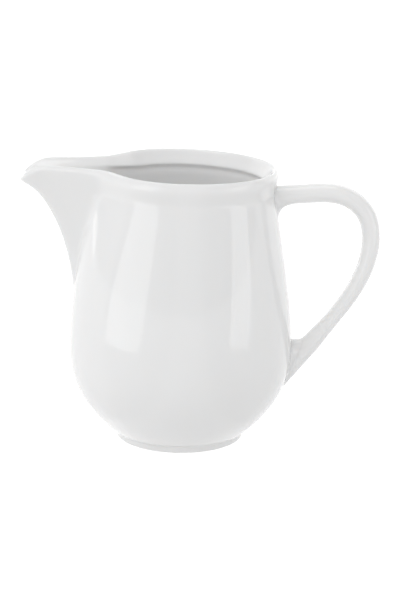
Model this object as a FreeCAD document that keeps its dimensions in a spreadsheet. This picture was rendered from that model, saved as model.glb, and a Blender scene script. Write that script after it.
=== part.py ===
import FreeCAD, Part
import math
import os
import Sketcher

# A small porcelain milk jug, slip-cast in one piece: a pear-shaped wall with a drawn spout,
# a rolled lip, a turned foot ring and a loop handle.
# The frame: origin on the body's axis at the table, +Z up, spout towards -X, handle towards +X.

os.makedirs("parts", exist_ok=True)
doc = FreeCAD.newDocument("MilkJug")
vec = FreeCAD.Vector

# ---------------------------------------------------------------- driving sizes

SIZES = [
    # body
    ("rim_level", 100.0, "height of the rim on the body's axis"),
    ("belly_radius", 40.0, "largest outer radius"),
    ("belly_level", 36.0, "height of the largest radius"),
    ("bowl_step", 3.3, "how far the bowl's lower edge stands out past the foot ring"),
    ("bowl_power", 2.5, "fullness of the bowl's curve"),
    ("taper", 0.18, "inward lean of the upper body, a slope"),
    ("shoulder", 3.0, "softness of the turn from belly to taper"),
    ("collar_drop", 9.0, "height of the flared collar, down from the rim"),
    ("collar_flare", 2.5, "outward flare of the collar at its lip"),
    ("wall", 3.0, "wall thickness"),
    # rim
    ("rim_tilt", 1.2, "rise of the rim towards the spout, in degrees"),
    ("tilt_depth", 28.0, "how far below the rim the wall follows its tilt"),
    ("lip_drop", 1.5, "from the crest of the lip down to its widest ring"),
    ("crest_inset", 0.85, "from the widest ring in to the crest"),
    ("bevel_drop", 4.8, "from the crest down to the throat ridge"),
    ("ridge_ledge", 1.8, "how far the throat ridge stands in from the inside's wall"),
    ("spout_ledge", 0.1, "the same, along the spout, where the bevel runs out"),
    ("ridge_edge", 0.6, "height over which the throat ridge is undercut"),
    # spout
    ("spout_out", 17.2, "how far the tip of the spout stands out past the belly"),
    ("spout_depth", 44.0, "from the lip's widest ring down to where the keel leaves the body"),
    ("keel_lean", 0.17, "outward lean of the keel's lower part, a slope"),
    ("keel_soft", 3.0, "softness of the turn from the body into that lean"),
    ("keel_power", 3.4, "how late the keel swings out to the tip"),
    ("keel_roll", 1.5, "how softly the keel turns up into the lip"),
    ("spout_base", 19.8, "radius of the circle that the spout's sides run back to"),
    ("nose_radius", 7.0, "radius of the spout's nose at the lip, seen from above"),
    ("keel_radius", 2.2, "radius of the keel at its foot"),
    ("channel_radius", 1.4, "smallest radius of the pouring channel"),
    ("nose_length", 10.2, "length of the drooping end of the spout"),
    ("nose_drop", 5.2, "how far the lip falls over that length"),
    ("pinch", 3.3, "how far the rim is drawn in beside the spout"),
    ("pinch_angle", 35.0, "where, in degrees from the spout"),
    ("pinch_spread", 25.0, "how wide, in degrees"),
    ("spout_blend", 3.0, "softness of the crease between spout and body"),
    # foot and floor
    ("foot_height", 3.3, "height of the foot ring, and depth of the recess under it"),
    ("foot_radius", 20.7, "outer radius of the foot ring at the table"),
    ("foot_width", 3.2, "width of the foot ring"),
    ("foot_side", 1.0, "height of the foot ring's upright side, below the cove"),
    ("foot_edge", 0.4, "rounding of both edges of the tread"),
    ("foot_cove", 4.2, "radius of the cove between foot and bowl"),
    ("floor_thickness", 3.2, "thickness of the floor"),
    ("floor_radius", 14.0, "radius of the flat of the floor"),
    ("floor_power", 2.45, "fullness of the curve from the floor up to the inside's wall"),
    # handle
    ("handle_out", 27.5, "from the belly out to the handle's centre line, at its widest"),
    ("handle_drop", 9.4, "from the rim down to the centre line along the top"),
    ("landing_drop", 7.0, "from the belly's level down to where the handle lands"),
    ("bar_depth", 6.7, "thickness of the handle at its top, in its own plane"),
    ("bar_slimming", 1.4, "how much thinner it is near its foot"),
    ("bar_width", 8.8, "width of the handle, across its plane"),
    ("upper_root_depth", 9.8, "depth of the handle where it leaves the collar"),
    ("lower_root_depth", 15.0, "height of the handle's foot on the belly"),
    ("root_angle", 43.0, "between the handle's foot and the level, in degrees"),
    ("root_width", 11.6, "width of both roots"),
    ("root_share", 0.6, "how much of the wall's thickness the roots go through"),
]

sheet = doc.addObject("Spreadsheet::Sheet", "Sizes")
for row, (alias, value, note) in enumerate(SIZES, 1):
    sheet.set("A%d" % row, alias)
    sheet.set("B%d" % row, str(value))
    sheet.set("C%d" % row, note)
    sheet.setAlias("B%d" % row, alias)
doc.recompute()


def size(alias):
    return float(sheet.get(alias))


rim = size("rim_level")
wall = size("wall")
belly = size("belly_level")
foot_height = size("foot_height")
floor_level = foot_height + size("floor_thickness")
widest_level = rim - size("lip_drop")
spout_reach = size("belly_radius") + size("spout_out")
spout_rise = size("spout_depth")
spout_start = widest_level - spout_rise
handle_reach = size("belly_radius") + size("handle_out")
handle_top = rim - size("handle_drop")
handle_landing = belly - size("landing_drop")

# ---------------------------------------------------------------- the wall's formula


def ease(low, high, value):
    """0 below low, 1 above high, a smooth step between."""
    share = min(max((value - low) / (high - low), 0.0), 1.0)
    return share * share * (3 - 2 * share)


def body_radius(level):
    """The outer radius away from the spout."""
    full = size("belly_radius")
    if level < belly:
        depth = (belly - level) / (belly - foot_height)
        edge = size("foot_radius") + size("bowl_step")
        return full - (full - edge) * depth ** size("bowl_power")
    soft = size("shoulder")
    leaned = full + soft - math.hypot(soft, size("taper") * (level - belly))
    flare_start = rim - size("collar_drop")
    return leaned + size("collar_flare") * ease(flare_start, widest_level, level)


def spout_share(level):
    """0 at the keel's foot, 1 at the widest ring of the lip."""
    return min(max((level - spout_start) / spout_rise, 0.0), 1.0)


def keel(level):
    """Distance from the axis to the keel: a soft lean, then a swing out to the tip."""
    soft = size("keel_soft")

    def leaned(share):
        rise = math.hypot(share * spout_rise, soft) - soft
        return body_radius(spout_start) + size("keel_lean") * rise

    share = spout_share(level)
    swing = 1 - (1 - share ** size("keel_power")) ** size("keel_roll")
    return leaned(share) + (spout_reach - leaned(1.0)) * swing


def keel_wall(level):
    """Level thickness of the wall at the keel, where the wall leans."""
    step = 0.25
    slope = (keel(level) - keel(level - step)) / step
    return wall * math.hypot(1.0, slope)


def beak(angle, base, nose, centre):
    """Polar outline of the band stretched round a circle on the axis and the nose circle."""
    tangent = math.acos(min((base - nose) / centre, 1.0))
    turn = math.atan2(nose * math.sin(tangent), centre + nose * math.cos(tangent))
    if angle < turn:
        side = centre * math.sin(angle)
        return centre * math.cos(angle) + math.sqrt(max(nose * nose - side * side, 0.0))
    if angle < tangent:
        return base / math.cos(tangent - angle)
    return base


def outline(angle, level, inset, spout_inset, keel_inset):
    """Distance from the axis to the wall, at an angle from the spout."""
    share = spout_share(level)
    spread = (math.degrees(angle) - size("pinch_angle")) / size("pinch_spread")
    drawn_in = size("pinch") * share * share * math.exp(-spread * spread)
    round_wall = body_radius(level) - inset - drawn_in
    if share <= 0.0:
        return round_wall
    nose = size("keel_radius") + (size("nose_radius") - size("keel_radius")) * share ** 3
    nose = max(nose - spout_inset, size("channel_radius"))
    centre = keel(level) - keel_inset - nose
    spout = beak(angle, size("spout_base") - spout_inset, nose, centre)
    soft = size("spout_blend") * math.sqrt(share)
    return 0.5 * (round_wall + spout + math.hypot(round_wall - spout, soft))


def lifted(x, level):
    """Height of a point of the wall: the rim tilts, and droops at the nose."""
    over = max(-x - (spout_reach - size("nose_length")), 0.0)
    droop = size("nose_drop") * (over / size("nose_length")) ** 2
    tilt = -x * math.tan(math.radians(size("rim_tilt")))
    follow = ease(rim - size("tilt_depth"), widest_level, level)
    return level + follow * (tilt - droop)


def closed_curve(points):
    """A smooth closed curve, with evenly numbered knots so that curves can be skinned."""
    steps = [float(i) for i in range(len(points) + 1)]
    curve = Part.BSplineCurve()
    curve.interpolate(Points=points, PeriodicFlag=True, Parameters=steps)
    return curve


HALF = 46  # points from the nose round to the handle side
FINE = 500  # steps of the search for even spacing
CROWDING = 3.0  # how much closer together the points are at the nose
CROWDED = 0.07  # how far round that reaches, as a share of the way


def ring(level, inset=0.0, spout_inset=0.0, keel_inset=None):
    """One closed smooth curve round the wall, with its points closer together at the nose."""
    if keel_inset is None:
        keel_inset = spout_inset
    angles = [math.pi * (i / FINE) ** 1.5 for i in range(FINE + 1)]
    radii = [outline(a, level, inset, spout_inset, keel_inset) for a in angles]
    flat = [(r * math.cos(a), r * math.sin(a)) for a, r in zip(angles, radii)]
    run = [0.0]
    for (x0, y0), (x1, y1) in zip(flat, flat[1:]):
        run.append(run[-1] + math.hypot(x1 - x0, y1 - y0))
    total = run[-1]
    count = [0.0]
    for here, there in zip(run, run[1:]):
        place = 0.5 * (here + there) / total
        crowd = 1 + CROWDING * math.exp(-((place / CROWDED) ** 2))
        count.append(count[-1] + crowd * (there - here))
    chosen = []
    k = 0
    for i in range(HALF + 1):
        goal = count[-1] * i / HALF
        while k < FINE - 1 and count[k + 1] < goal:
            k += 1
        share = (goal - count[k]) / (count[k + 1] - count[k])
        angle = angles[k] + share * (angles[k + 1] - angles[k])
        r = outline(angle, level, inset, spout_inset, keel_inset)
        x = -r * math.cos(angle)
        chosen.append((x, r * math.sin(angle), lifted(x, level)))
    far = [vec(x, y, z) for x, y, z in reversed(chosen)]
    near = [vec(x, -y, z) for x, y, z in chosen[1:-1]]
    return closed_curve(far + near)


# ---------------------------------------------------------------- the wall


def outer_rings():
    """From the bowl's edge above the foot up to the widest ring of the lip."""
    bowl = [foot_height + (belly - foot_height) * s for s in (0, 0.1, 0.22, 0.38, 0.58, 0.8)]
    flank = [belly + (spout_start - belly) * s for s in (0, 0.33, 0.66, 0.9, 1.0)]
    shares = (0.06, 0.14, 0.25, 0.37, 0.49, 0.6, 0.69, 0.77, 0.84, 0.9, 0.95, 1.0)
    spout = [spout_start + spout_rise * s for s in shares]
    return [ring(level) for level in bowl + flank + spout]


def lip_rings():
    """Over the rolled lip and down the bevel to the throat ridge."""
    drop = size("lip_drop")
    crest = size("crest_inset")
    rings = [ring(widest_level)]
    for turn in (30, 60, 90):
        a = math.radians(turn)
        inset = crest * (1 - math.cos(a))
        rings.append(ring(widest_level + drop * math.sin(a), inset, inset))
    for share, down in ((0.2, 0.06), (0.45, 0.27), (0.72, 0.6), (1.0, 1.0)):
        inset = crest + (wall + size("ridge_ledge") - crest) * share
        spout_inset = crest + (wall + size("spout_ledge") - crest) * share
        level = rim - size("bevel_drop") * down
        rings.append(ring(level, inset, spout_inset))
    return rings


def inner_rings():
    """From the throat ridge down the inside to the flat of the floor."""
    ridge = rim - size("bevel_drop")
    rings = [ring(ridge, wall + size("ridge_ledge"), wall + size("spout_ledge"))]
    undercut = ridge - size("ridge_edge")
    for share in (1.0, 0.94, 0.86, 0.76, 0.65, 0.53, 0.41, 0.28, 0.16, 0.07, 0.0):
        level = spout_start + (undercut - spout_start) * share
        rings.append(ring(level, wall, wall, keel_wall(level)))
    for share in (0.85, 0.6, 0.3):
        rings.append(ring(belly + (spout_start - belly) * share, wall))
    inside = size("belly_radius") - wall
    flat = size("floor_radius")
    for turn in (90, 72, 54, 37, 22, 10, 0):
        a = math.radians(turn)
        r = flat + (inside - flat) * math.sin(a)
        level = belly - (belly - floor_level) * math.cos(a) ** (2 / size("floor_power"))
        rings.append(ring(level, body_radius(level) - r))
    return rings


def skin(rings):
    """The smooth face through rings that share their knots: each row of poles is interpolated."""
    columns = list(zip(*[r.getPoles() for r in rings]))
    gap = [0.0]
    for low, high in zip(rings, rings[1:]):
        steps = [p.distanceToPoint(q) for p, q in zip(low.getPoles(), high.getPoles())]
        gap.append(gap[-1] + sum(steps) / len(steps))
    rows = []
    for column in columns:
        line = Part.BSplineCurve()
        line.interpolate(Points=list(column), Parameters=gap)
        rows.append(line.getPoles())
    surface = Part.BSplineSurface()
    first = rings[0]
    surface.buildFromPolesMultsKnots(
        rows, first.getMultiplicities(), line.getMultiplicities(),
        first.getKnots(), line.getKnots(), True, False, 3, 3,
    )
    return Part.Face(surface)


def closed_solid(groups):
    """The solid inside groups of rings, each skinned smoothly, with flat faces on both ends."""
    faces = [skin(group) for group in groups]
    for end in (groups[0][0], groups[-1][-1]):
        faces.append(Part.Face(Part.Wire([end.toShape()])))
    shell = Part.makeShell(faces)
    shell.sewShape()
    solid = Part.Solid(shell)
    if solid.Volume < 0:
        solid.reverse()
    return solid


body_wall = doc.addObject("Part::Feature", "BodyWall")
body_wall.Label = "body wall with spout and lip"
body_wall.Shape = closed_solid([outer_rings(), lip_rings(), inner_rings()])

# ---------------------------------------------------------------- the foot ring

foot = doc.addObject("PartDesign::Body", "FootRing")
foot.Label = "foot ring"
profile = foot.newObject("Sketcher::SketchObject", "FootProfile")
planes = {feature.Role: feature for feature in foot.Origin.OriginFeatures}
profile.AttachmentSupport = [(planes["XZ_Plane"], "")]
profile.MapMode = "FlatFace"

foot_outer = size("foot_radius")
foot_inner = foot_outer - size("foot_width")
cove = size("foot_cove")
buried = foot_height + 0.5 * size("floor_thickness")
inside_corner = vec(foot_inner, 0, 0)
outside_corner = vec(foot_outer, 0, 0)
cove_foot = vec(foot_outer, size("foot_side"), 0)
cove_middle = cove_foot + vec(cove, 0, 0)
cove_turn = math.asin((buried - cove_foot.y) / cove)
cove_top = cove_middle + vec(-cove * math.cos(cove_turn), cove * math.sin(cove_turn), 0)
top_corner = vec(foot_inner, buried, 0)
circle = Part.Circle(cove_middle, vec(0, 0, 1), cove)
TREAD = profile.addGeometry(Part.LineSegment(inside_corner, outside_corner))
SIDE = profile.addGeometry(Part.LineSegment(outside_corner, cove_foot))
COVE = profile.addGeometry(Part.ArcOfCircle(circle, math.pi - cove_turn, math.pi))
TOP = profile.addGeometry(Part.LineSegment(cove_top, top_corner))
INSIDE = profile.addGeometry(Part.LineSegment(top_corner, inside_corner))
START, END, CENTRE = 1, 2, 3
AXIS = -1
for one, other in (
    ((TREAD, END), (SIDE, START)),
    ((SIDE, END), (COVE, END)),
    ((COVE, START), (TOP, START)),
    ((TOP, END), (INSIDE, START)),
    ((INSIDE, END), (TREAD, START)),
):
    profile.addConstraint(Sketcher.Constraint("Coincident", *one, *other))
for line in (TREAD, TOP):
    profile.addConstraint(Sketcher.Constraint("Horizontal", line))
for line in (SIDE, INSIDE):
    profile.addConstraint(Sketcher.Constraint("Vertical", line))
profile.addConstraint(Sketcher.Constraint("PointOnObject", TREAD, START, AXIS))
profile.addConstraint(Sketcher.Constraint("Horizontal", COVE, CENTRE, COVE, END))
driven = {
    "outer": (("DistanceX", AXIS, START, TREAD, END, foot_outer), "foot_radius"),
    "width": (("DistanceX", TREAD, START, TREAD, END, foot_outer - foot_inner), "foot_width"),
    "straight": (("DistanceY", SIDE, START, SIDE, END, cove_foot.y), "foot_side"),
    "cove": (("Radius", COVE, cove), "foot_cove"),
    "buried": (
        ("DistanceY", INSIDE, END, INSIDE, START, buried),
        "foot_height + Sizes.floor_thickness * 0.5",
    ),
}
for name, (constraint, formula) in driven.items():
    index = profile.addConstraint(Sketcher.Constraint(*constraint))
    profile.renameConstraint(index, name)
    profile.setExpression("Constraints." + name, "Sizes." + formula)
doc.recompute()

turned = foot.newObject("PartDesign::Revolution", "TurnedRing")
turned.Profile = profile
turned.ReferenceAxis = (profile, ["V_Axis"])
turned.Angle = 360.0
foot.Tip = turned
doc.recompute()

tread_edges = []
for number, edge in enumerate(turned.Shape.Edges, 1):
    if edge.BoundBox.ZMax < 0.5 * size("foot_side"):
        tread_edges.append("Edge%d" % number)
softened = foot.newObject("PartDesign::Fillet", "SoftenedTread")
softened.Base = (turned, tread_edges)
softened.setExpression("Radius", "Sizes.foot_edge")
foot.Tip = softened
doc.recompute()

# ---------------------------------------------------------------- the handle

STATIONS = 25  # sections along the handle, closer together at its roots
OVAL = 16  # points round a section
root_sink = size("root_share") * wall


def handle_line():
    """The centre line, from inside the collar over the top and down to the belly."""
    reach = handle_reach
    top = handle_top
    landing = handle_landing
    collar = body_radius(top) - root_sink
    side = body_radius(landing) - root_sink
    out = reach - collar
    low_out = reach - side
    drop = top - landing
    points = [
        vec(collar, 0, top - 0.03 * drop),
        vec(collar + 0.41 * out, 0, top),
        vec(collar + 0.72 * out, 0, top - 0.013 * drop),
        vec(collar + 0.942 * out, 0, top - 0.117 * drop),
        vec(reach, 0, top - 0.245 * drop),
        vec(collar + 0.978 * out, 0, top - 0.38 * drop),
        vec(side + 0.862 * low_out, 0, landing + 0.477 * drop),
        vec(side + 0.593 * low_out, 0, landing + 0.278 * drop),
        vec(side + 0.303 * low_out, 0, landing + 0.118 * drop),
        vec(side, 0, landing - 0.005 * drop),
    ]
    line = Part.BSplineCurve()
    line.interpolate(Points=points)
    return line


def station(line, number):
    """Place, lean and half sizes of one section of the handle."""
    share = 0.5 - 0.5 * math.cos(math.pi * number / (STATIONS - 1))
    along = line.parameterAtDistance(share * line.length())
    place = line.value(along)
    pointing = line.tangent(along)[0]
    path = math.atan2(pointing.z, pointing.x)
    upper = 1 - ease(0.0, 0.12, share)
    lower = ease(0.86, 1.0, share)
    lean = path - (math.pi + path) * ease(0.9, 1.0, share)
    depth = size("bar_depth") - size("bar_slimming") * ease(0.3, 0.85, share)
    depth += (size("upper_root_depth") - depth) * upper
    root_depth = size("lower_root_depth") * math.cos(math.radians(size("root_angle")))
    depth += (root_depth - depth) * lower
    depth /= math.cos(lean - path)
    width = size("bar_width")
    width += (size("root_width") - width) * max(upper, lower)
    return place, lean, 0.5 * depth, 0.5 * width


def handle_ring(place, lean, half_depth, half_width):
    """An oval across the handle's line."""
    inwards = vec(-math.sin(lean), 0, math.cos(lean))
    across = vec(0, 1, 0)
    points = []
    for i in range(OVAL):
        turn = 2 * math.pi * i / OVAL
        rise = inwards * (half_depth * math.cos(turn))
        points.append(place + rise + across * (half_width * math.sin(turn)))
    return closed_curve(points)


line = handle_line()
rings = [handle_ring(*station(line, number)) for number in range(STATIONS)]
bar = doc.addObject("Part::Feature", "HandleBar")
bar.Label = "handle bar"
bar.Shape = closed_solid([rings])

# The core takes off what the handle's roots reach past the middle of the wall.
CORE_STEPS = 12
core_levels = [floor_level + (rim - floor_level) * i / CORE_STEPS for i in range(CORE_STEPS + 1)]
core_side = [vec(body_radius(level) - root_sink, 0, level) for level in core_levels]
core_curve = Part.BSplineCurve()
core_curve.interpolate(Points=core_side)
core_edges = [
    core_curve.toShape(),
    Part.makeLine(core_side[-1], vec(0, 0, rim)),
    Part.makeLine(vec(0, 0, rim), vec(0, 0, floor_level)),
    Part.makeLine(vec(0, 0, floor_level), core_side[0]),
]
core = doc.addObject("Part::Feature", "Core")
core.Label = "core for trimming the handle"
core_face = Part.Face(Part.Wire(core_edges))
core.Shape = core_face.revolve(vec(0, 0, 0), vec(0, 0, 1), 360.0)

handle = doc.addObject("Part::Cut", "Handle")
handle.Label = "handle"
handle.Base = bar
handle.Tool = core

# ---------------------------------------------------------------- the jug

jug = doc.addObject("Part::MultiFuse", "Jug")
jug.Label = "jug"
jug.Shapes = [body_wall, foot, handle]
doc.recompute()

for part in doc.Objects:
    if "Invalid" in part.State or "Error" in part.State:
        raise RuntimeError("%s failed: %s" % (part.Name, part.State))
for part in (body_wall, foot, handle, jug):
    if part.Shape.isNull() or not part.Shape.isValid():
        raise RuntimeError("%s has no valid shape" % part.Name)
if len(jug.Shape.Solids) != 1:
    raise RuntimeError("the jug is not one solid")
jug.Shape.exportStep("parts/%s.step" % jug.Label)
print("jug", round(jug.Shape.Volume), "mm3", jug.Shape.optimalBoundingBox())
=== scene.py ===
import math
import bpy
import numpy as np
from mathutils import Matrix, Vector


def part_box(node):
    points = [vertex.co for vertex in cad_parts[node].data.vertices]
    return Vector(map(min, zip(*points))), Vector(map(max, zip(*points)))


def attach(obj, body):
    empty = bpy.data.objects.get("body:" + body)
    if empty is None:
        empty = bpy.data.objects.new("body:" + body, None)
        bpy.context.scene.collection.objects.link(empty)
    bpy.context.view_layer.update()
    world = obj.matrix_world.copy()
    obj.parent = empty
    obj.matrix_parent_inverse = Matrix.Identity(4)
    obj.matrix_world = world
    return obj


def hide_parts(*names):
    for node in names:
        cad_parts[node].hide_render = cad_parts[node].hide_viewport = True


# A small white porcelain milk jug on a pale table, with soft boxes reflected in its glaze.
# Shapes are worked out in millimetres and put into the meshes in metres.

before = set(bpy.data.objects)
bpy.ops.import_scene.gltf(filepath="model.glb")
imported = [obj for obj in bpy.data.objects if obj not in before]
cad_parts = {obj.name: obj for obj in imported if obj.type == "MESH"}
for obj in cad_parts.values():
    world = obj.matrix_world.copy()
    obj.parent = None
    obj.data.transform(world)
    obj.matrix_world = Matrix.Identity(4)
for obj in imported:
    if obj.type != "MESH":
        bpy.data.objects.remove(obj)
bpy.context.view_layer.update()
jugLow, jugHigh = (np.array(corner) * 1000.0 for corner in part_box("jug"))
scene = bpy.context.scene
print("frame loaded, jug box in mm:", jugLow.round(1), jugHigh.round(1))


def ease(low, high, value):
    # 0 below low, 1 above high, 3s^2 - 2s^3 between
    share = np.clip((value - low) / (high - low), 0.0, 1.0)
    return share * share * (3 - 2 * share)


def arc(centre, radius, fromDeg, toDeg, count):
    # (r, z) = centre + radius * (cos, sin) of an angle that runs from one bearing to the other
    turn = np.radians(np.linspace(fromDeg, toDeg, count))
    return centre[0] + radius * np.cos(turn), centre[1] + radius * np.sin(turn)


def splineThrough(points, count):
    # the natural cubic through the points over their chord lengths, in even steps
    points = np.asarray(points, float)
    knots = np.concatenate([[0], np.cumsum(np.linalg.norm(np.diff(points, axis=0), axis=1))])
    gaps = np.diff(knots)
    size = len(knots)
    matrix = np.eye(size)
    right = np.zeros((size, points.shape[1]))
    inner = np.arange(1, size - 1)
    matrix[inner, inner - 1] = gaps[:-1]
    matrix[inner, inner] = 2 * (gaps[:-1] + gaps[1:])
    matrix[inner, inner + 1] = gaps[1:]
    slopes = np.diff(points, axis=0) / gaps[:, None]
    right[1:-1] = 6 * np.diff(slopes, axis=0)
    bend = np.linalg.solve(matrix, right)
    at = np.linspace(0, knots[-1], count)
    k = np.clip(np.searchsorted(knots, at, side="right") - 1, 0, size - 2)
    a = ((knots[k + 1] - at) / gaps[k])[:, None]
    b = 1 - a
    squared = (gaps[k] ** 2)[:, None] / 6
    return a * points[k] + b * points[k + 1] + ((a**3 - a) * bend[k] + (b**3 - b) * bend[k + 1]) * squared


def gridMesh(name, points):
    # points[row, column] becomes quads, each row closed round; a fan to its middle closes each end row
    rowCount, columnCount = points.shape[:2]
    index = np.arange(rowCount * columnCount).reshape(rowCount, columnCount)
    here, above = index[:-1], index[1:]
    quads = np.stack([here, np.roll(here, -1, 1), np.roll(above, -1, 1), above], -1).reshape(-1, 4)
    first, last = index[0], index[-1]
    firstHub = np.full_like(first, index.size)
    lastHub = np.full_like(last, index.size + 1)
    firstFan = np.stack([firstHub, np.roll(first, -1), first], -1)
    lastFan = np.stack([lastHub, last, np.roll(last, -1)], -1)
    vertices = np.vstack([points.reshape(-1, 3), points[0].mean(0), points[-1].mean(0)])
    return meshOf(name, vertices, quads, np.vstack([firstFan, lastFan]))


def meshOf(name, vertices, quads, triangles=None):
    # vertices in mm go in as metres; loops are written as whole arrays
    mesh = bpy.data.meshes.new(name)
    loops = quads.ravel()
    sizes = np.full(len(quads), 4)
    if triangles is not None:
        loops = np.concatenate([loops, triangles.ravel()])
        sizes = np.concatenate([sizes, np.full(len(triangles), 3)])
    starts = np.concatenate([[0], np.cumsum(sizes)[:-1]])
    mesh.vertices.add(len(vertices))
    mesh.vertices.foreach_set("co", (vertices * 0.001).astype(np.float32).ravel())
    mesh.loops.add(len(loops))
    mesh.loops.foreach_set("vertex_index", loops.astype(np.int32))
    mesh.polygons.add(len(sizes))
    mesh.polygons.foreach_set("loop_start", starts.astype(np.int32))
    mesh.polygons.foreach_set("loop_total", sizes.astype(np.int32))
    mesh.polygons.foreach_set("use_smooth", np.ones(len(sizes), bool))
    mesh.update(calc_edges=True)
    mesh.validate()
    thing = bpy.data.objects.new(name, mesh)
    scene.collection.objects.link(thing)
    return thing


# the wall: a pear-shaped body whose sections grow into a drawn spout

body = {
    "rimLevel": 100.0,
    "bellyRadius": jugHigh[1],
    "bellyLevel": 36.0,
    "bowlRadius": 24.0,  # where the bowl starts above the foot
    "bowlPower": 2.5,
    "taper": 0.18,
    "shoulder": 3.0,  # how softly the belly turns into the taper
    "collarDrop": 9.0,
    "collarFlare": 2.5,
    "wall": 3.0,
    "insidePower": 2.45,
    "floorLevel": 6.5,
    "floorRadius": 14.0,
    "rimTilt": 1.2,  # degrees
    "tiltDepth": 28.0,  # how far under the rim the tilt begins
    "lipDrop": 1.5,
    "crestInset": 0.9,
    "bevelDrop": 4.8,
    "bevelInset": 4.8,
    "bevelPower": 1.55,
    "ridgeSoft": 0.9,  # how soon the wall thins again under the bevel
    "ridgeGap": 0.4,
}
spout = {
    "reach": -jugLow[0] - 0.12,  # just inside the jug's box
    "start": 54.5,
    "lean": 0.17,
    "leanSoft": 3.0,
    "power": 3.4,
    "roll": 1.5,
    "base": 19.8,
    "noseRadius": 7.6,
    "keelRadius": 2.2,
    "channelRadius": 1.4,
    "noseLength": 10.2,
    "noseDrop": 5.2,
    "pinch": 3.3,
    "pinchAngle": 35.0,
    "pinchSpread": 25.0,
    "bevelInset": 3.1,
    "ridgeRise": 2.2,
    "ridgeFrom": 14.0,
    "ridgeTo": 29.0,
    "ridgeFade": 18.0,
    "blend": 3.0,
    "blendLoss": 0.15,  # how much crisper the join gets per mm of inset
}
foot = {
    "height": 3.3,  # of the recess, and the level that the bowl is reckoned from
    "outer": 21.0,
    "width": 3.5,
    "edge": 0.35,
    "edgeEnd": 318,  # degrees, where the tread's rounded edge turns into the side
    "sideStart": (-0.05, 0.12),  # r from the outer radius, and z
    "flareShare": (0.5, 0.42),  # on the way from the tread to the shoulder
    "flareSwell": 0.05,
    "shoulderOut": 1.8,  # how far the side stands out over the tread
    "shoulderLevel": 0.9,
    "neckShare": (0.30, 0.4),  # on the way from the shoulder to the crease
    "crease": 3.85,  # where the side meets the bowl
    "creaseInset": 0.8,
    "creaseGap": 0.12,
    "recessFillet": 0.9,
    "recessGap": 0.3,
}
grid = {
    "around": 336,
    "searchSteps": 1600,
    "searchSpacing": 1.5,
    "crowding": 3.0,  # how much denser the points stand at the nose
    "crowdingWidth": 0.07,
    "hub": 0.4,  # radius of the smallest circle round a pole
    "recessRows": 8,
    "recessFilletRows": 8,
    "innerEdgeRows": 7,
    "outerEdgeRows": 5,
    "footSideRows": 16,
    "bowlRows": 36,
    "bowlSpacing": 1.5,
    "flankRows": 84,
    "crestRows": 9,
    "bevelRows": 15,
    "throatRows": 54,
    "straightRows": 12,
    "insideBowlRows": 30,
    "floorRows": 9,
}
widest = body["rimLevel"] - body["lipDrop"]  # the level of the lip's widest ring
ridge = body["rimLevel"] - body["bevelDrop"]  # the level of the bevel's lower edge


def bodyRadius(level):
    # bowl: full - (full - start) d^p below the belly; above it a hyperbola of slope taper, plus a flare
    full = body["bellyRadius"]
    depth = np.clip((body["bellyLevel"] - level) / (body["bellyLevel"] - foot["height"]), 0, None)
    bowl = full - (full - body["bowlRadius"]) * depth ** body["bowlPower"]
    rise = np.clip(level - body["bellyLevel"], 0, None)
    soft = body["shoulder"]
    leaned = full + soft - np.hypot(soft, body["taper"] * rise)
    flare = body["collarFlare"] * ease(body["rimLevel"] - body["collarDrop"], widest, level)
    return np.where(level < body["bellyLevel"], bowl, leaned + flare)


def spoutShare(level):
    # 0 at the keel's foot, 1 at the widest ring of the lip
    return np.clip((level - spout["start"]) / (widest - spout["start"]), 0.0, 1.0)


def keel(level):
    # distance to the keel: a soft lean plus a swing 1 - (1 - s^power)^roll out to the tip
    rise = widest - spout["start"]
    start = bodyRadius(np.array(spout["start"]))
    soft = spout["leanSoft"]
    share = spoutShare(level)
    leaned = start + spout["lean"] * (np.hypot(share * rise, soft) - soft)
    leanedTop = start + spout["lean"] * (np.hypot(rise, soft) - soft)
    swing = 1 - (1 - share ** spout["power"]) ** spout["roll"]
    return leaned + (spout["reach"] - leanedTop) * swing


def keelWall(level):
    # wall * sqrt(1 + slope^2), so the keel keeps its thickness where it leans
    step = 0.25
    slope = (keel(level) - keel(level - step)) / step
    return body["wall"] * np.hypot(1.0, slope)


def outline(angle, level, inset, spoutInset, keelInset):
    # the soft maximum of a drawn-in circle and a band stretched round the base and nose circles
    share = spoutShare(level)
    spread = (np.degrees(angle) - spout["pinchAngle"]) / spout["pinchSpread"]
    roundWall = bodyRadius(level) - inset - spout["pinch"] * share**2 * np.exp(-spread * spread)
    nose = spout["keelRadius"] + (spout["noseRadius"] - spout["keelRadius"]) * share**3
    nose = np.maximum(nose - spoutInset, spout["channelRadius"])
    centre = keel(level) - keelInset - nose
    base = spout["base"] - spoutInset
    tangent = np.arccos(np.clip((base - nose) / centre, -1, 1))
    turn = np.arctan2(nose * np.sin(tangent), centre + nose * np.cos(tangent))
    side = centre * np.sin(angle)
    onNose = centre * np.cos(angle) + np.sqrt(np.clip(nose**2 - side**2, 0, None))
    onSide = base / np.cos(np.clip(tangent - angle, 0, None))
    beak = np.where(angle < turn, onNose, onSide)
    soft = (spout["blend"] - spout["blendLoss"] * inset) * np.sqrt(share)
    joined = 0.5 * (roundWall + beak + np.hypot(roundWall - beak, soft))
    return np.where(share > 0, joined, roundWall)


def lifted(x, level):
    # the rim's tilt, less a droop that grows with the square of the way along the nose
    over = np.clip(-x - (spout["reach"] - spout["noseLength"]), 0, None)
    droop = spout["noseDrop"] * (over / spout["noseLength"]) ** 2
    tilt = -x * math.tan(math.radians(body["rimTilt"]))
    return level + ease(body["rimLevel"] - body["tiltDepth"], widest, level) * (tilt - droop)


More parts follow.
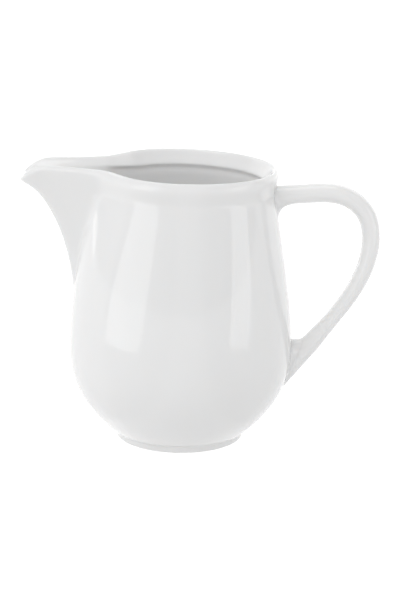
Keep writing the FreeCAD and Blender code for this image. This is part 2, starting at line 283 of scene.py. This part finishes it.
def wallRings(level, inset, spoutInset, keelInset):
    # closed rings (-r cos a, r sin a, lifted level) of even steps, but that the points crowd at the nose
    # by 1 + crowding * exp(-(place / width)^2)
    half = grid["around"] // 2
    angles = math.pi * np.linspace(0, 1, grid["searchSteps"] + 1) ** grid["searchSpacing"]
    columns = [np.asarray(v, float)[:, None] for v in (level, inset, spoutInset, keelInset)]
    radii = outline(angles[None], *columns)
    x, y = -radii * np.cos(angles), radii * np.sin(angles)
    steps = np.hypot(np.diff(x), np.diff(y))
    run = np.cumsum(steps, 1)
    place = (run - 0.5 * steps) / run[:, -1:]
    crowd = 1 + grid["crowding"] * np.exp(-((place / grid["crowdingWidth"]) ** 2))
    count = np.concatenate([np.zeros((len(x), 1)), np.cumsum(crowd * steps, 1)], 1)
    wanted = np.linspace(0, 1, half + 1)
    chosen = np.array([np.interp(wanted * ring[-1], ring, angles) for ring in count])
    r = outline(chosen, *columns)
    x, y = -r * np.cos(chosen), r * np.sin(chosen)
    z = lifted(x, columns[0])
    nearSide = np.stack([x, -y, z], -1)
    farSide = np.stack([x, y, z], -1)[:, -2:0:-1]
    return np.concatenate([nearSide, farSide], 1)


def roundRings(r, z):
    # plain circles with the same spacing of points as the rings without a spout
    plainLevel = 20.0
    circle = wallRings([plainLevel], [0.0], [0.0], [0.0])[0]
    unit = circle[:, :2] / np.hypot(circle[:, 0], circle[:, 1])[:, None]
    flat = unit[None] * np.asarray(r)[:, None, None]
    height = np.broadcast_to(np.asarray(z)[:, None, None], flat.shape[:2] + (1,))
    return np.concatenate([flat, height], -1)


def raiseRidge(lines, share):
    # z grows by ridgeRise * share * an ease along the spout, where the lip turns into it
    along = ease(spout["ridgeFrom"], spout["ridgeTo"], -lines[..., 0])
    lines[..., 2] += spout["ridgeRise"] * along * np.asarray(share)[:, None]


def footRings():
    # circles from the middle of the recess, round its fillet and the tread, and up a spline to the crease
    height, fillet, edge = foot["height"], foot["recessFillet"], foot["edge"]
    outer, inner = foot["outer"], foot["outer"] - foot["width"]
    shoulder = (outer + foot["shoulderOut"], foot["shoulderLevel"])
    creaseRadius = float(bodyRadius(np.array(foot["crease"]))) - foot["creaseInset"]
    flareOut, flareUp = foot["flareShare"]
    neckOut, neckUp = foot["neckShare"]
    crease = (creaseRadius, foot["crease"] - foot["creaseGap"])
    toCrease = (creaseRadius - shoulder[0], foot["crease"] - shoulder[1])
    sidePoints = [
        (outer + foot["sideStart"][0], foot["sideStart"][1]),
        (outer + flareOut * (shoulder[0] - outer) + foot["flareSwell"], flareUp * shoulder[1]),
        shoulder,
        (shoulder[0] + neckOut * toCrease[0], shoulder[1] + neckUp * toCrease[1]),
        crease,
    ]
    recess = np.linspace(grid["hub"], inner - fillet - foot["recessGap"], grid["recessRows"])
    pieces = [
        (recess, np.full(grid["recessRows"], height)),
        arc((inner - fillet, height - fillet), fillet, 90, 0, grid["recessFilletRows"]),
        arc((inner + edge, edge), edge, 180, 270, grid["innerEdgeRows"]),
        arc((outer - edge, edge), edge, 270, foot["edgeEnd"], grid["outerEdgeRows"]),
        splineThrough(sidePoints, grid["footSideRows"]).T,
    ]
    r, z = (np.concatenate([piece[i] for piece in pieces]) for i in (0, 1))
    return roundRings(r, z)


def outsideRings():
    # rings up the bowl, at share^bowlSpacing of its height, and up the flank to the lip's widest ring
    share = np.linspace(0, 1, grid["bowlRows"]) ** grid["bowlSpacing"]
    bowl = foot["crease"] + (body["bellyLevel"] - foot["crease"]) * share
    flank = np.linspace(body["bellyLevel"], widest, grid["flankRows"])[1:]
    level = np.concatenate([bowl, flank])
    zero = np.zeros_like(level)
    return wallRings(level, zero, zero, zero)


def lipRings():
    # a quarter of an ellipse over the crest, then a bevel that falls by drop * share^bevelPower
    turn = np.radians(np.linspace(0, 90, grid["crestRows"]))[1:]
    inset = body["crestInset"] * (1 - np.cos(turn))
    crest = wallRings(widest + body["lipDrop"] * np.sin(turn), inset, inset, inset)
    share = np.linspace(0, 1, grid["bevelRows"])[1:]
    fall = share ** body["bevelPower"]
    inset = body["crestInset"] + (body["bevelInset"] - body["crestInset"]) * share
    spoutInset = body["crestInset"] + (spout["bevelInset"] - body["crestInset"]) * share
    bevel = wallRings(body["rimLevel"] - body["bevelDrop"] * fall, inset, spoutInset, spoutInset)
    raiseRidge(bevel, fall)
    return np.concatenate([crest, bevel])


def throatRings():
    # under the ridge the inset sinks back to the wall's thickness as exp(-(depth / ridgeSoft)^2)
    wall = body["wall"]
    level = np.linspace(ridge - body["ridgeGap"], spout["start"], grid["throatRows"])
    fade = np.exp(-(((ridge - level) / body["ridgeSoft"]) ** 2))
    inset = wall + (body["bevelInset"] - wall) * fade
    spoutInset = wall + (spout["bevelInset"] - wall) * fade
    throat = wallRings(level, inset, spoutInset, keelWall(level))
    raiseRidge(throat, 1 - ease(0.0, spout["ridgeFade"], ridge - level))
    return throat


def insideRings():
    # circles down the flank, round the bowl as a superellipse, and in over the flat floor to its middle
    wall, flat = body["wall"], body["floorRadius"]
    straight = np.linspace(spout["start"], body["bellyLevel"], grid["straightRows"])[1:-1]
    turn = np.radians(np.linspace(90, 0, grid["insideBowlRows"]))
    bowlRadius = flat + (body["bellyRadius"] - wall - flat) * np.sin(turn)
    depth = np.cos(turn) ** (2 / body["insidePower"])
    bowl = body["bellyLevel"] - (body["bellyLevel"] - body["floorLevel"]) * depth
    floorRadius = np.linspace(flat, grid["hub"], grid["floorRows"])[1:]
    floor = np.full(len(floorRadius), body["floorLevel"])
    r = np.concatenate([bodyRadius(straight) - wall, bowlRadius, floorRadius])
    return roundRings(r, np.concatenate([straight, bowl, floor]))


def bodyRings():
    # one stack of rings: under the foot, up the outside, over the lip and down to the middle of the floor
    return np.concatenate([footRings(), outsideRings(), lipRings(), throatRings(), insideRings()])


# the handle: an oval bar along a loop, with roots that widen and land flat on the wall

handle = {
    "top": 90.6,
    "landing": 29.0,
    "depth": 6.7,
    "width": 8.8,
    "slimming": 1.3,
    "slimSpan": (0.3, 0.75),  # shares of the loop's length, as the next span and the roots' places
    "heel": 1.5,  # how much deeper the bar gets again towards its lower root
    "heelSpan": (0.74, 0.9),
    "reachTrim": 0.05,
    "loopStart": (-1.8, -0.02),  # mm from the wall, and a share of the drop
    "upperLoop": [(0.38, 0.001), (0.71, -0.013), (0.940, -0.117), (1.0, -0.245), (0.977, -0.38)],
    "lowerLoop": [(0.855, 0.477), (0.571, 0.278), (0.271, 0.110)],
    "loopEnd": (-2.2, -0.080),
    "upperRoot": {
        "place": 0.13,
        "towards": -1,
        "side": 1.6,  # how far the root spreads over the wall beside the bar
        "under": (4.2, 0.0),  # how much further below it, growing from this slant on
        "over": (-1.1, 0.2),  # and the same above it
        "ledge": 0.0,
    },
    "lowerRoot": {
        "place": 0.86,
        "towards": 1,
        "side": 1.2,
        "under": (-0.5, 0.1),
        "over": (3.4, 0.2),
        "ledge": 0.85,
    },
    "ledgeFrom": 0.3,
    "ledgeShare": 0.72,
    "filletRun": (1.25, 0.6),  # times the spread, and mm
    "skirtOut": 0.5,  # the skirt is the root's hidden edge inside the wall
    "skirtUnder": 0.35,
    "skirtDepth": 1.1,
    "lineSteps": 600,
    "around": 72,
    "along": 150,
    "rootSteps": 16,
    "approachSteps": 5,
}


def wallX(y, z):
    # the body's surface on the handle's side, x = sqrt(R(z)^2 - y^2)
    return np.sqrt(np.clip(bodyRadius(z) ** 2 - y**2, 0, None))


def handleLine():
    # the middle line in x and z: a spline through points that lie shares of the reach off the wall
    # and shares of the drop from the top or the landing
    reach = jugHigh[0] - 0.5 * handle["depth"] + handle["reachTrim"]
    top, landing = handle["top"], handle["landing"]
    collar = float(bodyRadius(np.array(top)))
    side = float(bodyRadius(np.array(landing)))
    out, lowOut, drop = reach - collar, reach - side, top - landing
    start, end = handle["loopStart"], handle["loopEnd"]
    points = [(collar + start[0], top + start[1] * drop)]
    points += [(collar + share * out, top + fall * drop) for share, fall in handle["upperLoop"]]
    points += [(side + share * lowOut, landing + rise * drop) for share, rise in handle["lowerLoop"]]
    points += [(side + end[0], landing + end[1] * drop)]
    return splineThrough(points, handle["lineSteps"])


def handleRings():
    # rings from the upper root's end in the wall, along the bar, to the lower root's end in the wall
    line = handleLine()
    tangent = np.gradient(line, axis=0)
    tangent /= np.linalg.norm(tangent, axis=1)[:, None]
    length = np.concatenate([[0], np.cumsum(np.linalg.norm(np.diff(line, axis=0), axis=1))])
    share = length / length[-1]
    theta = np.linspace(0, 2 * np.pi, handle["around"], endpoint=False)

    def barRing(s):
        # an oval across the line: in-plane half depth times cos, sideways half width times sin
        place = np.array([np.interp(s, share, line[:, i]) for i in (0, 1)])
        way = np.array([np.interp(s, share, tangent[:, i]) for i in (0, 1)])
        way /= np.linalg.norm(way)
        slim = handle["slimming"] * ease(*handle["slimSpan"], s)
        heel = handle["heel"] * ease(*handle["heelSpan"], s)
        depth = 0.5 * (handle["depth"] - (slim - heel))
        normal = np.array([-way[1], way[0]])
        x = place[0] + normal[0] * depth * np.cos(theta)
        z = place[1] + normal[1] * depth * np.cos(theta)
        y = 0.5 * handle["width"] * np.sin(theta)
        return np.stack([x, y, z], -1), np.array([way[0], 0, way[1]])

    def onWall(flat, sunk=0.0):
        # (y, z) becomes (wallX - sunk, y, z)
        return np.stack([wallX(flat[:, 0], flat[:, 1]) - sunk, flat[:, 0], flat[:, 1]], -1)

    def reachOfWall(start, way):
        # how far each line runs to the wall: steps of damping * what it still misses by
        reach = np.full(len(start), 6.0)
        damping = 0.6
        for _ in range(40):
            hit = start + way * reach[:, None]
            reach += (hit[:, 0] - wallX(hit[:, 1], hit[:, 2])) * damping
        return reach

    def root(spec):
        # each line of the bar bends along B(t) = (1-t)^2 A + 2t(1-t) C + t^2 B onto the wall;
        # a ledge moves C, on the upper side, from the corner towards the line from A to B
        start, way = barRing(spec["place"])
        way = way * spec["towards"]
        reach = reachOfWall(start, way)
        corner = start + way * reach[:, None]
        outward = corner[:, 1:] - corner.mean(0)[1:]
        outward /= np.linalg.norm(outward, axis=1)[:, None]
        up = outward[:, 1]
        under = spec["under"][0] * ease(spec["under"][1], 1.0, -up)
        over = spec["over"][0] * ease(spec["over"][1], 1.0, up)
        spread = spec["side"] + under + over
        landed = onWall(corner[:, 1:] + outward * spread[:, None])
        run = np.minimum(reach, handle["filletRun"][0] * spread + handle["filletRun"][1])
        bent = corner - way * run[:, None]
        filled = spec["ledge"] * ease(handle["ledgeFrom"], 1.0, up)[:, None]
        straight = bent + (landed - bent) * handle["ledgeShare"]
        control = corner + (straight - corner) * filled
        t = np.linspace(0, 1, handle["rootSteps"])[1:, None, None]
        fillet = (1 - t) ** 2 * bent + 2 * t * (1 - t) * control + t**2 * landed
        steps = np.linspace(0, 1, handle["approachSteps"])[:, None, None]
        approach = start + (bent - start) * steps
        further = corner[:, 1:] + outward * (spread + handle["skirtOut"])[:, None]
        skirt = onWall(further, handle["skirtUnder"])
        buried = skirt - np.array([handle["skirtDepth"], 0, 0])
        return np.concatenate([approach, fillet, skirt[None], buried[None]])

    upper, lower = handle["upperRoot"], handle["lowerRoot"]
    between = np.linspace(upper["place"], lower["place"], handle["along"])[1:-1]
    bar = np.array([barRing(s)[0] for s in between])
    return np.concatenate([root(upper)[::-1], bar, root(lower)])


print("working out the wall")
bodyPiece = gridMesh("jug_body", bodyRings())
print("working out the handle")
handlePiece = gridMesh("jug_handle", handleRings())
handlePiece.data.flip_normals()  # its rings run the other way round

# the glaze: glossy and nearly white, a little uneven, slightly greyer in soft clouds, bare on the tread

glaze = {
    "white": (0.95, 0.95, 0.948, 1),
    "pooled": (0.92, 0.925, 0.925, 1),
    "pooledMost": 0.35,
    "pooledSpan": (0.52, 0.85),  # values of the clouds' noise
    "cloudScale": 22.0,
    "bisque": (0.80, 0.775, 0.735, 1),
    "bisqueRoughness": 0.75,
    "treadLevel": 0.00035,  # metres, above which the glaze begins
    "treadFull": 0.4,  # the share of that level below which the tread is quite bare
    "roughness": 0.015,
    "roughnessSpread": 3,  # how many times rougher the glaze gets in the clouds
    "unevenness": 0.05,  # mm
    "unevenScale": 60.0,
    "ior": 1.5,
    "milkiness": 0.5,
    "milkyScale": 0.004,  # metres
    "milkyRadius": (1.0, 0.95, 0.9),
}


def addNode(tree, kind, values):
    # a new node with its inputs set, by name or by number
    node = tree.nodes.new(kind)
    for key, value in values.items():
        node.inputs[key].default_value = value
    return node


def addMix(tree, kind, values):
    # inputs 2 and 3 are the numbers that it mixes, 6 and 7 the colours
    node = addNode(tree, "ShaderNodeMix", values)
    node.data_type = kind
    return node


def porcelain():
    # a clear gloss over milky white
    material = bpy.data.materials.new("porcelain_glaze")
    material.use_nodes = True
    tree = material.node_tree
    link = tree.links.new
    shader = tree.nodes["Principled BSDF"]
    shader.inputs["IOR"].default_value = glaze["ior"]
    shader.inputs["Subsurface Weight"].default_value = glaze["milkiness"]
    shader.inputs["Subsurface Radius"].default_value = glaze["milkyRadius"]
    shader.inputs["Subsurface Scale"].default_value = glaze["milkyScale"]

    place = tree.nodes.new("ShaderNodeTexCoord").outputs["Object"]
    height = tree.nodes.new("ShaderNodeSeparateXYZ")
    cloud = addNode(tree, "ShaderNodeTexNoise", {"Scale": glaze["cloudScale"], "Detail": 3.0})
    wave = addNode(tree, "ShaderNodeTexNoise", {"Scale": glaze["unevenScale"], "Detail": 2.0})
    for pattern in (height, cloud, wave):
        link(place, pattern.inputs["Vector"])

    # the clouds turn the white towards the pooled tone
    pooledFrom, pooledTo = glaze["pooledSpan"]
    gatherSpan = {"From Min": pooledFrom, "From Max": pooledTo, "To Max": glaze["pooledMost"]}
    gather = addNode(tree, "ShaderNodeMapRange", gatherSpan)
    tone = addMix(tree, "RGBA", {6: glaze["white"], 7: glaze["pooled"]})
    link(cloud.outputs["Fac"], gather.inputs["Value"])
    link(gather.outputs["Result"], tone.inputs[0])

    # under the tread's level the glaze gives way to bare bisque
    treadSpan = {"From Min": glaze["treadLevel"], "From Max": glaze["treadLevel"] * glaze["treadFull"]}
    tread = addNode(tree, "ShaderNodeMapRange", treadSpan)
    bare = addMix(tree, "RGBA", {7: glaze["bisque"]})
    link(height.outputs["Z"], tread.inputs["Value"])
    link(tread.outputs["Result"], bare.inputs[0])
    link(tone.outputs[2], bare.inputs[6])
    link(bare.outputs[2], shader.inputs["Base Color"])

    # the clouds roughen the gloss a little, and the tread is matt
    shineSpan = {"To Min": glaze["roughness"], "To Max": glaze["roughness"] * glaze["roughnessSpread"]}
    shine = addNode(tree, "ShaderNodeMapRange", shineSpan)
    matt = addMix(tree, "FLOAT", {3: glaze["bisqueRoughness"]})
    link(cloud.outputs["Fac"], shine.inputs["Value"])
    link(tread.outputs["Result"], matt.inputs[0])
    link(shine.outputs["Result"], matt.inputs[2])
    link(matt.outputs[0], shader.inputs["Roughness"])

    # a very slight unevenness of the surface
    bump = addNode(tree, "ShaderNodeBump", {"Strength": 1.0, "Distance": glaze["unevenness"] * 0.001})
    link(wave.outputs["Fac"], bump.inputs["Height"])
    link(bump.outputs["Normal"], shader.inputs["Normal"])
    return material


print("glazing the jug")
porcelainGlaze = porcelain()
for piece in (bodyPiece, handlePiece):
    piece.data.materials.append(porcelainGlaze)
    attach(piece, "root")
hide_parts("jug")

# the studio: a pale table in a white room, broad light from both sides and from above,
# and soft boxes that only the glaze reflects

studio = {
    "aimLevel": 0.06,
    "tableSize": 40.0,
    "tableWhite": 0.3,
    "tableRoughness": 0.8,
    "tableShine": 0.1,
    "tableGlow": 0.41,  # the light that it throws on the jug
    "tableSeen": 0.95,
    "roomStrength": 0.60,
    "roomSeen": 1.1,
    "suns": {
        "windowLeft": {"strength": 0.42, "angle": 60.0, "lean": (-66.0, -8.0)},
        "windowRight": {"strength": 0.19, "angle": 60.0, "lean": (60.0, -5.0)},
        "ceiling": {"strength": 0.51, "angle": 60.0, "lean": (-20.0, -42.0)},
    },
    "boxes": {
        "left": {"place": (-0.204, -0.158, 0.082), "size": (0.170, 0.250), "lean": -24.0, "radiance": 1.35},
        "right": {"place": (0.263, -0.110, 0.085), "size": (0.102, 0.245), "lean": -34.0, "radiance": 1.3},
        "top": {"place": (-0.05, 0.12, 0.75), "size": (0.60, 0.25), "lean": 0.0, "radiance": 2.0},
        "back": {"place": (0.0, 1.2, 0.5), "size": (5.0, 2.4), "lean": 0.0, "radiance": 0.80},
    },
    "uprightBelow": 0.5,  # metres over the jug's middle, up to which a box stands upright
}


def table():
    # one flat square, z = 0
    half = 0.5 * studio["tableSize"] * 1000
    corners = np.array([(-half, -half, 0), (half, -half, 0), (half, half, 0), (-half, half, 0)], float)
    thing = meshOf("table", corners, np.array([[0, 1, 2, 3]]))
    material = bpy.data.materials.new("table_white")
    material.use_nodes = True
    tree = material.node_tree
    shader = tree.nodes["Principled BSDF"]
    shader.inputs["Base Color"].default_value = (studio["tableWhite"],) * 3 + (1,)
    shader.inputs["Roughness"].default_value = studio["tableRoughness"]
    shader.inputs["Specular IOR Level"].default_value = studio["tableShine"]
    shader.inputs["Emission Color"].default_value = (1, 1, 1, 1)
    ray = tree.nodes.new("ShaderNodeLightPath")
    glowSpan = {"To Min": studio["tableSeen"], "To Max": studio["tableGlow"]}
    glow = addNode(tree, "ShaderNodeMapRange", glowSpan)
    tree.links.new(ray.outputs["Is Diffuse Ray"], glow.inputs["Value"])
    tree.links.new(glow.outputs["Result"], shader.inputs["Emission Strength"])
    thing.data.materials.append(material)


def room():
    # an even room, brighter where it is seen behind the jug
    world = bpy.data.worlds.new("room")
    scene.world = world
    world.use_nodes = True
    tree = world.node_tree
    back = tree.nodes["Background"]
    back.inputs["Color"].default_value = (1, 1, 1, 1)
    ray = tree.nodes.new("ShaderNodeLightPath")
    strengthSpan = {"To Min": studio["roomStrength"], "To Max": studio["roomSeen"]}
    strength = addNode(tree, "ShaderNodeMapRange", strengthSpan)
    tree.links.new(ray.outputs["Is Camera Ray"], strength.inputs["Value"])
    tree.links.new(strength.outputs["Result"], back.inputs["Strength"])


def wideSun(name, spec):
    # a broad disc of sky, leant from overhead towards x and towards y
    light = bpy.data.lights.new(name, "SUN")
    light.energy = spec["strength"]
    light.angle = math.radians(spec["angle"])
    lamp = bpy.data.objects.new(name, light)
    lamp.visible_glossy = False
    scene.collection.objects.link(lamp)
    leanX, leanY = (math.radians(v) for v in spec["lean"])
    lamp.rotation_euler = (-leanY, leanX, 0)


def softBox(name, spec):
    # a rectangle that faces the jug, rolled by its lean; its power is radiance * pi * area
    light = bpy.data.lights.new(name, "AREA")
    light.shape = "RECTANGLE"
    light.size, light.size_y = spec["size"]
    light.energy = spec["radiance"] * math.pi * light.size * light.size_y
    lamp = bpy.data.objects.new(name, light)
    lamp.visible_camera = False
    lamp.visible_diffuse = False
    scene.collection.objects.link(lamp)
    place = Vector(spec["place"])
    away = place - Vector((0, 0, studio["aimLevel"]))
    if abs(away.z) < studio["uprightBelow"]:
        away.z = 0
    facing = away.to_track_quat("Z", "Y").to_matrix() @ Matrix.Rotation(math.radians(spec["lean"]), 3, "Z")
    lamp.matrix_world = Matrix.Translation(place) @ facing.to_4x4()


print("setting the table and the lights")
table()
room()
for name, spec in studio["suns"].items():
    wideSun(name, spec)
for name, spec in studio["boxes"].items():
    softBox("soft_box_" + name, spec)
scene.view_settings.view_transform = "Standard"

# the camera: a long lens at table distance, looking a little down

view = {
    "distance": 0.69755,
    "height": 0.23571,
    "pitch": 14.849,
    "yaw": 0.574,
    "roll": 0.875,
    "lens": 120.17,
    "sensor": 36.0,
    "clipStart": 0.01,
}


def camera():
    # looks along +y, turned right by yaw, down by pitch, and rolled anticlockwise
    pitch, yaw, roll = (math.radians(view[k]) for k in ("pitch", "yaw", "roll"))
    level = Vector((math.sin(yaw), math.cos(yaw), 0))
    right = Vector((math.cos(yaw), -math.sin(yaw), 0))
    up = Vector((0, 0, 1))
    ahead = math.cos(pitch) * level - math.sin(pitch) * up
    over = math.sin(pitch) * level + math.cos(pitch) * up
    sideways = right * math.cos(roll) + over * math.sin(roll)
    upwards = over * math.cos(roll) - right * math.sin(roll)
    lens = bpy.data.cameras.new("camera")
    lens.lens = view["lens"]
    lens.sensor_width = view["sensor"]
    lens.clip_start = view["clipStart"]
    eye = bpy.data.objects.new("camera", lens)
    scene.collection.objects.link(eye)
    turn = Matrix((sideways, upwards, -ahead)).transposed()
    eye.matrix_world = Matrix.Translation((0, -view["distance"], view["height"])) @ turn.to_4x4()
    scene.camera = eye


print("placing the camera")
camera()
